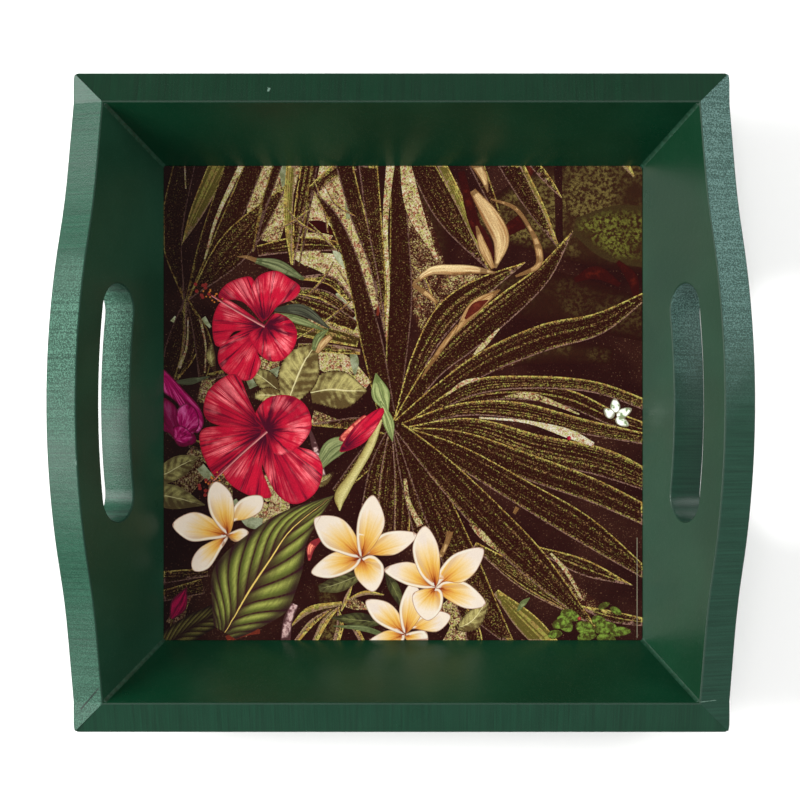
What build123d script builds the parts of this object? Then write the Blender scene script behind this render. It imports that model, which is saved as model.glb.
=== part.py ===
from build123d import *

import os
from math import asin, cos, degrees, radians, sin, sqrt, tan

# Square serving tray of painted board. Four walls lean outwards and meet in mitres, and the two handle
# walls have an arched rim and a bent hand slot. A thin base panel is let into the walls from below and
# carries a printed sheet under a clear film.
# Millimetres. +X runs to the right handle wall, +Y to the back wall and +Z up. The origin is the middle
# of the underside, on the surface that the tray stands on.

# ---- driving dimensions ----
BOARD = 16.0              # thickness of the four wall boards
OPENING_X = 222.0         # inside, between the handle walls, level with the picture
OPENING_Y = 220.0         # inside, between the front and back walls, level with the picture
HANDLE_LEAN = 26.5        # lean of the handle walls from upright, degrees
PLAIN_LEAN = 28.5         # lean of the front and back walls from upright, degrees
WALL_RISE = 43.5          # height of the inner rim above the picture at the corners

ARCH_RISE = 20.3          # rise of the arch above the corners, up the slope of the board
CROWN_HALF = 75.0         # half the length of the arch's round crown
SHOULDER_START = 105.0    # from the middle to where the straight shoulder starts
FLANK_SLOPE = 15.2        # steepest slope of the arch, where crown and hollow meet, degrees
SHOULDER_SLOPE = 8.0      # slope of the arch where the hollow meets the shoulder, degrees

SLOT_LENGTH = 107.0       # hand slot, end to end
SLOT_WIDTH = 23.8         # hand slot, from its lower to its upper edge
SLOT_LOW = 27.4           # from the picture up the slope to the slot's lower edge, at the middle

PANEL_X = 240.0           # base panel
PANEL_Y = 238.0
PANEL_THICKNESS = 4.0
SHEET_THICKNESS = 0.3     # printed sheet
FILM_THICKNESS = 0.2      # clear film over the sheet
SHEET_GAP = 0.1           # from the sheet's edges to the walls, level with the picture
SHEET_CORNER = 1.0        # radius of the corners of the sheet and the film
FILM_SHORT = 2.0          # how far the film stops short of the sheet's right edge

EASED_EDGE = 0.8          # rounding of the rims and the slots
ROUND_ON_HANDLE = 8.0     # outer corners' rounding, how far it reaches along the handle wall
ROUND_ON_PLAIN = 3.0      # the same along the front or back wall
BEAD_LEG = 1.3            # filler bead, from the inner corner along each wall
BEAD_HOLLOW = 0.25        # how far the bead's face curves in
BEAD_TOP_GAP = 1.0        # from the bead's top to the rim

BRAD_RADIUS = 0.7         # corner brads
BRAD_LENGTH = 30.0
BRAD_HEAD_RADIUS = 1.1
BRAD_HEAD = 0.8
BRAD_SUNK = 2.0           # depth of a brad's head under the painted face
BRAD_HEIGHTS = (12.0, 32.0)

PIN_RADIUS = 0.7          # panel pins under the base panel
PIN_LENGTH = 12.0
PIN_HEAD_RADIUS = 1.6
PIN_HEAD = 0.8
PIN_EDGE = 3.2            # from the panel's edge to the pins
PIN_PLACES = (-80.0, 0.0, 80.0)

BLANK_HALF = 175.0        # half the length of a wall's blank, before its mitres are cut
BLANK_BELOW = 8.0         # how far a blank reaches below the picture, before its foot is cut level
MARGIN = 4.0              # how far cutting tools stand clear of what they cut
BELOW_FLOOR = 20.0        # depth of the block that cuts the feet level

# ---- derived sizes ----
PICTURE_TOP = PANEL_THICKNESS + SHEET_THICKNESS + FILM_THICKNESS
HALF_X = OPENING_X / 2
HALF_Y = OPENING_Y / 2
HANDLE_TAN = tan(radians(HANDLE_LEAN))
PLAIN_TAN = tan(radians(PLAIN_LEAN))
HANDLE_LEVEL = BOARD / cos(radians(HANDLE_LEAN))     # a handle wall's thickness, measured level
PLAIN_LEVEL = BOARD / cos(radians(PLAIN_LEAN))       # a plain wall's thickness, measured level
HANDLE_CORNER = WALL_RISE / cos(radians(HANDLE_LEAN))
PLAIN_CORNER = WALL_RISE / cos(radians(PLAIN_LEAN))
RIM_HALF_Y = HALF_Y + WALL_RISE * PLAIN_TAN          # half the inner rim, front to back
ARCH_TOP = HANDLE_CORNER + ARCH_RISE
CROWN_RADIUS = CROWN_HALF / sin(radians(FLANK_SLOPE))
CROWN_END = ARCH_TOP - CROWN_RADIUS * (1 - cos(radians(FLANK_SLOPE)))
SLOT_RADIUS = CROWN_RADIUS - ARCH_TOP + SLOT_LOW + SLOT_WIDTH / 2


def arch_half():
    """One half of the arched rim: round crown, tangent hollow, then a straight shoulder."""
    crown = CenterArc((0, ARCH_TOP - CROWN_RADIUS), CROWN_RADIUS, 90 - FLANK_SLOPE, FLANK_SLOPE)
    hollow_radius = (SHOULDER_START - CROWN_HALF) / (sin(radians(FLANK_SLOPE)) - sin(radians(SHOULDER_SLOPE)))
    hollow_middle = (
        CROWN_HALF + hollow_radius * sin(radians(FLANK_SLOPE)),
        CROWN_END + hollow_radius * cos(radians(FLANK_SLOPE)),
    )
    hollow = CenterArc(hollow_middle, hollow_radius, 270 - FLANK_SLOPE, FLANK_SLOPE - SHOULDER_SLOPE)
    shoulder = Line(hollow @ 1, (RIM_HALF_Y, HANDLE_CORNER))
    return [crown, hollow, shoulder]


def handle_outline():
    """A handle wall's blank in its own plane, with the arched rim and the bent slot."""
    ends = Polyline(
        (RIM_HALF_Y, HANDLE_CORNER),
        (BLANK_HALF, HANDLE_CORNER),
        (BLANK_HALF, -BLANK_BELOW),
        (0, -BLANK_BELOW),
        (0, ARCH_TOP),
    )
    half = make_face(arch_half() + [ends])
    slot_turn = degrees(asin((SLOT_LENGTH - SLOT_WIDTH) / 2 / SLOT_RADIUS))
    slot_middle = (0, ARCH_TOP - CROWN_RADIUS)
    slot_line = CenterArc(slot_middle, SLOT_RADIUS, 90 - slot_turn, 2 * slot_turn)
    return half + mirror(half, about=Plane.YZ) - SlotArc(slot_line, SLOT_WIDTH)


def plain_outline():
    """The front or back wall's blank in its own plane."""
    return Pos(0, (PLAIN_CORNER - BLANK_BELOW) / 2) * Rectangle(2 * BLANK_HALF, PLAIN_CORNER + BLANK_BELOW)


def blank(outline):
    """A board cut to an outline, with the arrises of its rim and slot eased."""
    board = extrude(outline, BOARD)
    eased = [
        edge for edge in board.edges()
        if edge.center().Y > 0
        and abs(edge.center().X) < BLANK_HALF - MARGIN
        and abs(edge.center().Z - BOARD / 2) > BOARD / 2 - EASED_EDGE / 2
    ]
    return fillet(eased, EASED_EDGE)


def leaning(board, half, lean):
    """Stand a blank up as the wall on the +X side, leaning outwards."""
    outward = (cos(radians(lean)), 0, -sin(radians(lean)))
    return Plane(origin=(half, 0, PICTURE_TOP), x_dir=(0, 1, 0), z_dir=outward) * board


def mitre(side_x, side_y):
    """Mitre plane of one corner, facing the front or back wall."""
    inner_corner = (side_x * HALF_X, side_y * HALF_Y, PICTURE_TOP)
    facing = (
        -side_x * PLAIN_LEVEL,
        side_y * HANDLE_LEVEL,
        HANDLE_TAN * PLAIN_LEVEL - PLAIN_TAN * HANDLE_LEVEL,
    )
    return Plane(origin=inner_corner, z_dir=facing)


def panel_block():
    """The base panel's own space, which is also the rebate in the walls."""
    return Pos(0, 0, PANEL_THICKNESS / 2) * Box(PANEL_X, PANEL_Y, PANEL_THICKNESS)


def floor_block():
    """Everything below the surface that the tray stands on."""
    return Pos(0, 0, -BELOW_FLOOR / 2) * Box(4 * HALF_X, 4 * HALF_Y, BELOW_FLOOR)


def corner_shaver():
    """Tool that rounds the outer corner at +X +Y, a prism along the corner's line."""
    line = Vector(HANDLE_TAN, PLAIN_TAN, 1)
    foot = Vector(HALF_X + HANDLE_LEVEL, HALF_Y + PLAIN_LEVEL, PICTURE_TOP) - line * BELOW_FLOOR
    out_x = Vector(cos(radians(HANDLE_LEAN)), 0, -sin(radians(HANDLE_LEAN)))
    out_y = Vector(0, cos(radians(PLAIN_LEAN)), -sin(radians(PLAIN_LEAN)))
    along_x_wall = out_x.cross(line).normalized()
    along_y_wall = line.cross(out_y).normalized()
    start = foot + along_x_wall * ROUND_ON_HANDLE
    end = foot + along_y_wall * ROUND_ON_PLAIN
    beyond = foot - (along_x_wall + along_y_wall).normalized() * 2 * MARGIN
    outside = Polyline(end, end + out_y * MARGIN, beyond, start + out_x * MARGIN, start)
    section = Face(Wire([Bezier(start, foot, end)] + outside.edges()))
    return extrude(section, amount=5 * BELOW_FLOOR, dir=line)


def at_corners(shape):
    """Copies of a shape made at the +X +Y corner, one for each corner of the tray."""
    return {
        "back_right": shape,
        "back_left": mirror(shape, about=Plane.YZ),
        "front_right": mirror(shape, about=Plane.XZ),
        "front_left": mirror(mirror(shape, about=Plane.XZ), about=Plane.YZ),
    }


def corner_bead():
    """Thin fillet of filler down the inner corner at +X +Y."""
    line = Vector(HANDLE_TAN, PLAIN_TAN, 1)
    corner = Vector(HALF_X, HALF_Y, PICTURE_TOP)
    on_handle = corner - Vector(0, BEAD_LEG, 0)
    on_plain = corner - Vector(BEAD_LEG, 0, 0)
    towards_corner = Vector(BEAD_HOLLOW, BEAD_HOLLOW, 0) / sqrt(2)
    hollow = ThreePointArc(on_handle, (on_handle + on_plain) / 2 + towards_corner, on_plain)
    section = Face(Wire([hollow] + Polyline(on_plain, corner, on_handle).edges()))
    rise = (WALL_RISE - BEAD_TOP_GAP) * line.length
    return extrude(section, amount=rise, dir=line)


def corner_brads():
    """Two brads at the +X +Y corner, driven through the back wall into the handle wall's end."""
    brads = []
    for height in BRAD_HEIGHTS:
        rise = height - PICTURE_TOP
        middle = HALF_X + rise * HANDLE_TAN + HANDLE_LEVEL / 2
        start = HALF_Y + rise * PLAIN_TAN + PLAIN_LEVEL - BRAD_SUNK
        drive = Plane(origin=(middle, start, height), z_dir=(0, -1, 0))
        shank = Pos(0, 0, BRAD_LENGTH / 2) * Cylinder(BRAD_RADIUS, BRAD_LENGTH)
        head = Pos(0, 0, BRAD_HEAD / 2) * Cylinder(BRAD_HEAD_RADIUS, BRAD_HEAD)
        brads.append(drive * (shank + head))
    return Compound(children=brads)


def base_pins():
    """Panel pins, three along each edge, driven up through the base panel into the walls."""
    shank = Pos(0, 0, PIN_LENGTH / 2) * Cylinder(PIN_RADIUS, PIN_LENGTH)
    head = Pos(0, 0, PIN_HEAD / 2) * Cylinder(PIN_HEAD_RADIUS, PIN_HEAD)
    pin = shank + head
    pins = []
    for place in PIN_PLACES:
        for side in (-1, 1):
            pins.append(Pos(side * (PANEL_X / 2 - PIN_EDGE), place, 0) * pin)
            pins.append(Pos(place, side * (PANEL_Y / 2 - PIN_EDGE), 0) * pin)
    return Compound(children=pins)


def thin_sheet(bottom, thickness, right_short):
    """A rounded sheet lying inside the walls, which may stop short on its right side."""
    lean_in = (PICTURE_TOP - bottom) * HANDLE_TAN
    width = OPENING_X - 2 * (SHEET_GAP + lean_in) - right_short
    depth = OPENING_Y - 2 * (SHEET_GAP + lean_in)
    outline = RectangleRounded(width, depth, SHEET_CORNER)
    return Pos(-right_short / 2, 0, bottom) * extrude(outline, thickness)


def walls(brads, pins):
    """The four walls, mitred, footed level, rebated for the panel and bored for brads and pins."""
    right = leaning(blank(handle_outline()), HALF_X, HANDLE_LEAN)
    back = Rot(0, 0, 90) * leaning(blank(plain_outline()), HALF_Y, PLAIN_LEAN)
    for side in (-1, 1):
        right = split(right, bisect_by=mitre(1, side), keep=Keep.BOTTOM)
        back = split(back, bisect_by=mitre(side, 1), keep=Keep.TOP)
    blanks = {
        "right_handle_wall": right,
        "left_handle_wall": mirror(right, about=Plane.YZ),
        "back_wall": back,
        "front_wall": mirror(back, about=Plane.XZ),
    }
    shavers = list(at_corners(corner_shaver()).values())
    cutters = [floor_block(), panel_block(), pins] + shavers + list(brads.values())
    finished = {}
    for name, wall in blanks.items():
        for cutter in cutters:
            wall = wall - cutter
        finished[name] = wall
    return finished


def tray():
    """Every piece of the tray, by name."""
    brads = at_corners(corner_brads())
    beads = at_corners(corner_bead())
    pins = base_pins()
    pieces = walls(brads, pins)
    pieces["base_panel"] = panel_block() - pins
    pieces["printed_sheet"] = thin_sheet(PANEL_THICKNESS, SHEET_THICKNESS, 0)
    pieces["clear_film"] = thin_sheet(PANEL_THICKNESS + SHEET_THICKNESS, FILM_THICKNESS, FILM_SHORT)
    pieces["base_pins"] = pins
    for corner in beads:
        pieces["corner_bead_" + corner] = beads[corner]
        pieces["corner_pins_" + corner] = brads[corner]
    return pieces


os.makedirs("parts", exist_ok=True)
for name, piece in tray().items():
    export_step(piece, f"parts/{name}.step")
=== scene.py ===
import math

import bpy
import numpy as np
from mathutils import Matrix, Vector
from mathutils.geometry import delaunay_2d_cdt


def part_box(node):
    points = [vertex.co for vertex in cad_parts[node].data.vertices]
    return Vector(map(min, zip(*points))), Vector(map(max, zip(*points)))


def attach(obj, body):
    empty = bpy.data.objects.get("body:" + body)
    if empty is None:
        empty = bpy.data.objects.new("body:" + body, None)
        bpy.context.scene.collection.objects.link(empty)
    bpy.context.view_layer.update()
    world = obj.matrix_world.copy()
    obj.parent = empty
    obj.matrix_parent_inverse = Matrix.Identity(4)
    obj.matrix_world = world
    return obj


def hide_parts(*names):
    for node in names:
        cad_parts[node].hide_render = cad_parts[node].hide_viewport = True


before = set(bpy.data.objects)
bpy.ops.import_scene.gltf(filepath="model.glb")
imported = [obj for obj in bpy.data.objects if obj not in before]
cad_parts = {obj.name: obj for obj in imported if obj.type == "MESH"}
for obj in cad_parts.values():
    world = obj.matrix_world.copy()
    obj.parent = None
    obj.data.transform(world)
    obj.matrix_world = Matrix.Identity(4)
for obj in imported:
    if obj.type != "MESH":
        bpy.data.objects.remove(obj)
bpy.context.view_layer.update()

# A square painted tray with a printed botanical picture in it. The frame holds every board, bead and
# pin, which get their materials here. The picture is one flat mesh cut along the outlines of its own
# drawing, made of blades, leaves and petals. Metres throughout, except in the drawing: its outlines and
# widths are in mm, and its places in percent of the sheet.

MM = 0.001

FILM_LOW, FILM_HIGH = [Vector(corner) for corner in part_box("clear_film")]
PICTURE_Z = FILM_HIGH.z
HANDLE_LEAN = math.radians(26.5)      # lean of the handle walls from upright, as in the CAD
PLAIN_LEAN = math.radians(28.5)       # lean of the front and back walls


# ---- Node helpers ----

def srgb(red, green, blue):
    """Linear colour from 0 to 255 display values."""
    linear = []
    for value in (red, green, blue):
        value /= 255
        linear.append(value / 12.92 if value <= 0.04045 else ((value + 0.055) / 1.055) ** 2.4)
    return (*linear, 1.0)


class Paint:
    """A Principled material and short calls that add nodes to it and return their outputs. Wherever a
    value goes in, it can be a number, a colour or another node's output."""

    def __init__(self, name, roughness=0.5):
        self.material = bpy.data.materials.new(name)
        self.material.use_nodes = True
        self.tree = self.material.node_tree
        self.shader = self.tree.nodes["Principled BSDF"]
        self.set("Roughness", roughness)

    def put(self, socket, value):
        if isinstance(value, bpy.types.NodeSocket):
            self.tree.links.new(value, socket)
        else:
            socket.default_value = value

    def set(self, name, value):
        self.put(self.shader.inputs[name], value)

    def node(self, kind, inputs, output=0, **settings):
        node = self.tree.nodes.new(kind)
        for name, value in settings.items():
            setattr(node, name, value)
        for key, value in inputs.items():
            self.put(node.inputs[key], value)
        return node.outputs[output]

    def maths(self, operation, first, second=0.0, third=0.0, clamp=False):
        inputs = {0: first, 1: second, 2: third}
        return self.node("ShaderNodeMath", inputs, operation=operation, use_clamp=clamp)

    def times(self, first, second):
        return self.maths("MULTIPLY", first, second)

    def scaled(self, value, factor, base, clamp=False):
        """value x factor + base"""
        return self.maths("MULTIPLY_ADD", value, factor, base, clamp)

    def smooth(self, value, low, high):
        """0 below low and 1 above high, with a soft step between."""
        inputs = {"Value": value, "From Min": low, "From Max": high}
        return self.node("ShaderNodeMapRange", inputs, interpolation_type="SMOOTHSTEP", clamp=True)

    def mix(self, share, first, second, blend="MIX"):
        inputs = {0: share, 6: first, 7: second}
        return self.node("ShaderNodeMix", inputs, 2, data_type="RGBA", blend_type=blend, clamp_factor=True)

    def step(self, value, low, high, first, second, share=None):
        """The first colour at low values and the second, or a share of it, at high ones."""
        raised = self.smooth(value, low, high)
        if share:
            raised = self.times(raised, share)
        return self.mix(raised, first, second)

    def noise(self, vector, scale, detail=2.0, rough=0.5):
        inputs = {"Vector": vector, "Scale": scale, "Detail": detail, "Roughness": rough}
        return self.node("ShaderNodeTexNoise", inputs)

    def ramp(self, share, *stops):
        node = self.tree.nodes.new("ShaderNodeValToRGB")
        self.put(node.inputs[0], share)
        elements = node.color_ramp.elements
        while len(elements) < len(stops):
            elements.new(0.5)
        for element, (place, colour) in zip(elements, stops):
            element.position = place
            element.color = colour
        return node.outputs[0]

    def place(self):
        """Position in the frame of the piece's row, here that of the whole tray."""
        return self.node("ShaderNodeTexCoord", {}, "Object")

    def combine(self, x, y, z):
        return self.node("ShaderNodeCombineXYZ", {0: x, 1: y, 2: z})

    def parts_of(self, vector):
        node = self.tree.nodes.new("ShaderNodeSeparateXYZ")
        self.put(node.inputs[0], vector)
        return node.outputs

    def dot(self, vector, direction):
        inputs = {0: vector, 1: direction}
        return self.node("ShaderNodeVectorMath", inputs, "Value", operation="DOT_PRODUCT")

    def attribute(self, name, output="Vector"):
        return self.node("ShaderNodeAttribute", {}, output, attribute_name=name)

    def bump(self, height, distance, strength=1.0):
        inputs = {"Height": height, "Distance": distance, "Strength": strength}
        self.set("Normal", self.node("ShaderNodeBump", inputs))


# ---- Boards, beads and pins ----

PAINT_DEEP = srgb(1, 40, 22)
PAINT_PALE = srgb(6, 47, 28)

# How dry the paint is along a handle wall's cut edges, from the front end to the back end.
DRY_LEFT = (
    (0.04, 0.6), (0.1, 0.3), (0.3, 0.15), (0.45, 0.28), (0.54, 1.0), (0.64, 1.0), (0.72, 0.12), (0.95, 0.12),
)
DRY_RIGHT = ((0.46, 0.02), (0.53, 0.2), (0.6, 0.7), (0.7, 1.0))
NOT_DRY = ((0.0, 0.0), (1.0, 0.0))
# What the speckle and the saw lines multiply the paint's colour by.
SPECKLE = ((0.41, (0.3, 0.45, 0.4, 1)), (0.5, (1, 1, 1, 1)), (0.59, (2.6, 2.1, 2.2, 1)))
STREAK = ((0.3, (0.75, 0.75, 0.75, 1)), (0.7, (1.25, 1.25, 1.25, 1)))
CRACK_AND_SHADE_GREEN = srgb(4, 26, 16)          # in cracks, and as painted shade on the eased corners of the boards
CHIP_AND_HIGHLIGHT_PALE = srgb(90, 114, 102)
DUST = srgb(120, 150, 130)
HALF_LENGTH = 0.147                   # half the tray's length, front to back

# Flaws in the paint, and one painted highlight, each a stroke seen from above: its two ends, as x and y, and
# its width, in mm.
CRACK = ((-134.0, -126.5), (-143.8, -137.6), 1.0)
# Painted highlight: the pale line of light along the crease of the front right mitre.
JOINT_HIGHLIGHT = ((129.0, -133.2), (141.0, -132.6), 0.5)
CHIP = ((-59.4, 138.0), (-58.8, 141.0), 1.2)
SCUFF = ((-140.4, -20.0), (-141.6, -28.4), 1.6)
SCRATCH = ((-137.2, 35.0), (-136.2, 32.0), 0.6)


def stroke(paint, place, start, end, width):
    """1 at the middle of a ragged stroke seen from above, 0 elsewhere."""
    start, end = Vector((*start, 0)) * MM, Vector((*end, 0)) * MM
    along = (end - start).normalized()
    left = Vector((-along.y, along.x, 0))
    middle, reach = (start + end) / 2, (end - start).length / 2
    ragged = paint.times(paint.noise(place, 900.0, 2.0), width * MM)
    across = paint.maths("SUBTRACT", paint.dot(place, left), middle.dot(left))
    length = paint.maths("SUBTRACT", paint.dot(place, along), middle.dot(along))
    off = paint.maths("ADD", paint.maths("ABSOLUTE", across), ragged)
    past = paint.maths("ADD", paint.maths("ABSOLUTE", length), ragged)
    inside = paint.smooth(off, width * MM, width * MM * 0.7)
    return paint.times(inside, paint.smooth(past, reach, reach * 0.9))


def board_paint(name, facing, face=(PAINT_DEEP, PAINT_PALE), cut_green_and_shade=PAINT_DEEP, dry=NOT_DRY,
                dry_green_and_shade=PAINT_DEEP, cracks=(), chips_and_highlights=(), shine=0.34):
    """Green satin paint on a board whose inner face has the given normal. face = darkest and palest
    green of the faces. The greens of faces, cut edges and dry patches are set for each board, lighter or
    darker for how the light falls on it: painted light and shade. Along the handle walls' cut edges the
    paint is dry and speckled in places, with fine saw lines across the board. shine = specular level."""
    paint = Paint(name, 0.3)
    paint.set("Specular IOR Level", shine)
    place = paint.place()
    facing = Vector(facing).normalized()
    along = Vector((0, 1, 0)) if abs(facing.x) > 0.5 else Vector((1, 0, 0))
    length = paint.dot(place, along)
    depth = paint.dot(place, facing)
    height = paint.dot(place, facing.cross(along))
    normal = paint.node("ShaderNodeNewGeometry", {}, "True Normal")
    flat = paint.maths("ABSOLUTE", paint.dot(normal, facing))       # 1 on the faces, 0 on the cut edges
    edge = paint.smooth(flat, 0.75, 0.35)

    # The faces: two greens in clouds, with a little dust.
    clouds = paint.noise(place, 22.0, 4.0)
    dust = paint.smooth(paint.noise(place, 2600.0, 1.0), 0.62, 0.78)
    skin = paint.mix(paint.smooth(clouds, 0.35, 0.7), *face)
    skin = paint.mix(paint.times(dust, 0.12), skin, DUST)

    # The cut edges: fine streaks from the saw, and bare speckle where the paint is dry.
    board = paint.combine(length, paint.times(depth, 0.02), paint.times(height, 0.3))
    saw = paint.noise(board, 1300.0, 3.0, 0.6)
    fuzz = paint.noise(place, 1500.0, 2.0, 0.7)
    worn = paint.maths("ADD", paint.times(saw, 0.25), paint.times(fuzz, 0.75))
    patchy = paint.scaled(paint.noise(place, 60.0, 2.0), 0.12, -0.06)
    ends = {"Value": length, "From Min": -HALF_LENGTH, "From Max": HALF_LENGTH}
    share = paint.maths("ADD", paint.node("ShaderNodeMapRange", ends), patchy)
    dryness = paint.ramp(share, *((stop, (level, level, level, 1.0)) for stop, level in dry))
    dryness = paint.times(dryness, edge)
    speckle = paint.ramp(worn, *SPECKLE)
    streak = paint.ramp(saw, *STREAK)
    smooth_cut = paint.mix(1.0, cut_green_and_shade, streak, "MULTIPLY")
    cut = paint.mix(dryness, smooth_cut, paint.mix(1.0, dry_green_and_shade, speckle, "MULTIPLY"))
    colour = paint.mix(edge, skin, cut)
    # Cracks and chips in the paint, and on the right wall a painted highlight along its front mitre.
    for paint_marks, paint_mark_colour in ((cracks, CRACK_AND_SHADE_GREEN), (chips_and_highlights, CHIP_AND_HIGHLIGHT_PALE)):
        for paint_mark in paint_marks:
            colour = paint.mix(paint.times(edge, stroke(paint, place, *paint_mark)), colour, paint_mark_colour)
    # The eased corners between them, a little duller, and darker with painted shade that dims the highlight
    # lines along them.
    eased = paint.times(paint.smooth(flat, 0.1, 0.3), paint.smooth(flat, 0.98, 0.88))
    colour = paint.mix(paint.times(eased, 0.35), colour, CRACK_AND_SHADE_GREEN)
    paint.set("Base Color", colour)

    rough = paint.scaled(paint.noise(place, 60.0, 2.0), 0.12, 0.24)
    rough = paint.scaled(eased, 0.3, rough)
    paint.set("Roughness", paint.scaled(dryness, 0.35, rough))
    orange_peel = paint.times(paint.noise(place, 420.0, 2.0), 0.35)
    marks = paint.times(worn, paint.scaled(dryness, 1.4, paint.times(edge, 0.7)))
    paint.bump(paint.maths("ADD", orange_peel, marks), 0.0002, 0.6)
    return paint.material


def bead_paint():
    paint = Paint("bead_paint", 0.35)
    lumps = paint.noise(paint.place(), 500.0, 3.0)
    paint.set("Base Color", paint.ramp(lumps, (0.35, srgb(8, 42, 26)), (0.65, srgb(22, 58, 42))))
    paint.bump(lumps, 0.0003, 0.5)
    return paint.material


def pin_steel():
    paint = Paint("pin_steel", 0.35)
    paint.set("Metallic", 1.0)
    grain = paint.noise(paint.place(), 1500.0, 2.0)
    paint.set("Base Color", paint.ramp(grain, (0.3, srgb(150, 150, 148)), (0.7, srgb(200, 200, 196))))
    return paint.material


def dress(node, material):
    """Give a CAD node one material."""
    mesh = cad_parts[node].data
    mesh.materials.clear()
    mesh.materials.append(material)


def dress_frame():
    lean_x, rise_x = math.cos(HANDLE_LEAN), math.sin(HANDLE_LEAN)
    lean_y, rise_y = math.cos(PLAIN_LEAN), math.sin(PLAIN_LEAN)
    # Each wall's greens differ from the others' for how the studio light falls on it: painted light and
    # shade, for example lighter on the left wall's faces and the right wall's cut edge, darker on the back
    # wall's cut edge.
    dress("left_handle_wall", board_paint(
        "left_paint", (lean_x, 0, rise_x), (srgb(18, 48, 33), srgb(24, 56, 40)), srgb(12, 57, 40),
        DRY_LEFT, srgb(41, 74, 60), cracks=(CRACK,), chips_and_highlights=(SCUFF, SCRATCH), shine=0.2))
    dress("right_handle_wall", board_paint(
        "right_paint", (-lean_x, 0, rise_x), (srgb(6, 42, 24), srgb(12, 50, 31)), srgb(26, 59, 45),
        DRY_RIGHT, srgb(60, 91, 84), chips_and_highlights=(JOINT_HIGHLIGHT,)))
    dress("back_wall", board_paint(
        "back_paint", (0, -lean_y, rise_y), cut_green_and_shade=srgb(1, 36, 19), chips_and_highlights=(CHIP,)))
    dress("front_wall", board_paint("front_paint", (0, lean_y, rise_y), cut_green_and_shade=srgb(12, 49, 33)))
    dress("base_panel", board_paint("panel_paint", (0, 0, 1)))
    bead = bead_paint()
    steel = pin_steel()
    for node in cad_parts:
        if node.startswith("corner_bead"):
            dress(node, bead)
        if "pins" in node:
            dress(node, steel)


# ---- The picture: shapes laid over one another in drawing order ----
# A shape is a closed outline in mm from the picture's middle, a kind that picks its material, and a
# chart that turns any point into (u, v, rim): how far along the shape, how far across it, and the
# distance in mm to its edge. Those values reach the materials as attributes of the mesh.

PICTURE_X = -FILM_LOW.x / MM     # half sizes of the sheet
PICTURE_Y = FILM_HIGH.y / MM
DRAWN_X = 110.35                 # half sizes that the percentages of the tables refer to
DRAWN_Y = 109.35
CORNERS = (2.5, 0.6, 0.6, 0.6)   # corner radii: back right, back left, front left, front right
STEP_ALONG = 26                  # spine points of a long shape
STEP_ROUND = 40                  # outline points of a petal
FILL_STEP = 3.0                  # grid of loose points that keeps the triangles well shaped
STAGGER = 0.618                  # keeps neighbouring loose points off a common line
THINNEST = 0.04                  # least half width of a long shape
DOT_SIDES = 9
UNCUT_RIM = 9.0                  # distance to an edge, where the bare sheet shows
CUT_TOLERANCE = 1e-4

SHAPES = []


def add_shape(kind, outline, chart, tone):
    outline = np.asarray(outline, float)
    ahead = np.roll(outline, -1, axis=0)
    if (outline[:, 0] * ahead[:, 1] - ahead[:, 0] * outline[:, 1]).sum() < 0:
        outline = outline[::-1]                    # the cutter wants every outline anticlockwise
    SHAPES.append((kind, outline, chart, tone))


def at(place):
    """From percent of the sheet to mm from its middle."""
    return (place[0] / 50 - 1) * DRAWN_X, (place[1] / 50 - 1) * DRAWN_Y


def ats(places):
    return [at(place) for place in places]


def smooth_path(points, count, closed=False):
    """Points on a smooth curve through a few given ones."""
    points = np.asarray(points, float)
    if closed:
        points = np.concatenate((points[-1:], points, points[:2]))
    else:
        before, after = points[:1] * 2 - points[1:2], points[-1:] * 2 - points[-2:-1]
        points = np.concatenate((before, points, after))
    spans = len(points) - 3
    share = np.linspace(0, spans, count, endpoint=not closed)
    first = np.minimum(share.astype(int), spans - 1)
    t = (share - first)[:, None]
    a, b, c, d = (points[first + step] for step in range(4))
    return (2 * b + (c - a) * t + (2 * a - 5 * b + 4 * c - d) * t ** 2 + (3 * b - a - 3 * c + d) * t ** 3) / 2


def project(points, spine):
    """Share along a spine and signed distance to its left, for each point."""
    start, step = spine[:-1], np.diff(spine, axis=0)
    reach = points[:, None, :] - start[None]
    share = np.clip((reach * step).sum(2) / (step ** 2).sum(1), 0, 1)
    off = reach - share[..., None] * step
    nearest = np.argmin((off ** 2).sum(2), 1)
    rows = np.arange(len(points))
    off = off[rows, nearest]
    direction = step[nearest] / np.linalg.norm(step[nearest], axis=1)[:, None]
    side = np.sign(direction[:, 0] * off[:, 1] - direction[:, 1] * off[:, 0])
    return (nearest + share[rows, nearest]) / len(step), side * np.hypot(off[:, 0], off[:, 1])


def band(kind, spine, half, tone):
    """A long shape about a spine, with half its width at each spine point."""
    half = np.maximum(half, THINNEST)
    along = np.gradient(spine, axis=0)
    along /= np.linalg.norm(along, axis=1)[:, None]
    left = np.stack((-along[:, 1], along[:, 0]), 1)
    outline = np.concatenate((spine + left * half[:, None], (spine - left * half[:, None])[::-1]))

    def chart(points):
        u, side = project(points, spine)
        room = np.interp(u, np.linspace(0, 1, len(half)), half)
        return u, side / room, room - abs(side)

    add_shape(kind, outline, chart, tone)


def ribbon(kind, tone, *places):
    """A long shape along a curve through a few places, each with the width there."""
    places = np.array(places, float)
    half = smooth_path(places[:, 2:] / 2, STEP_ALONG)[:, 0]
    band(kind, smooth_path(ats(places), STEP_ALONG), half, tone)


def strip(kind, tone, start, tip, width, swing=0.0, full=(0.75, 0.6)):
    """A leaf-like shape from start to tip that swings to the left of its line by swing x length.
    full = (how soon it widens, how full its sides are)."""
    start, tip = np.array(at(start)), np.array(at(tip))
    line = tip - start
    left = np.array((-line[1], line[0]))
    share = np.linspace(0, 1, STEP_ALONG)[:, None]
    spine = start + line * share + left * swing * 4 * share * (1 - share)
    half = width / 2 * np.maximum(np.sin(np.pi * share[:, 0] ** full[0]), 0) ** full[1]
    band(kind, spine, half, tone)


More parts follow.
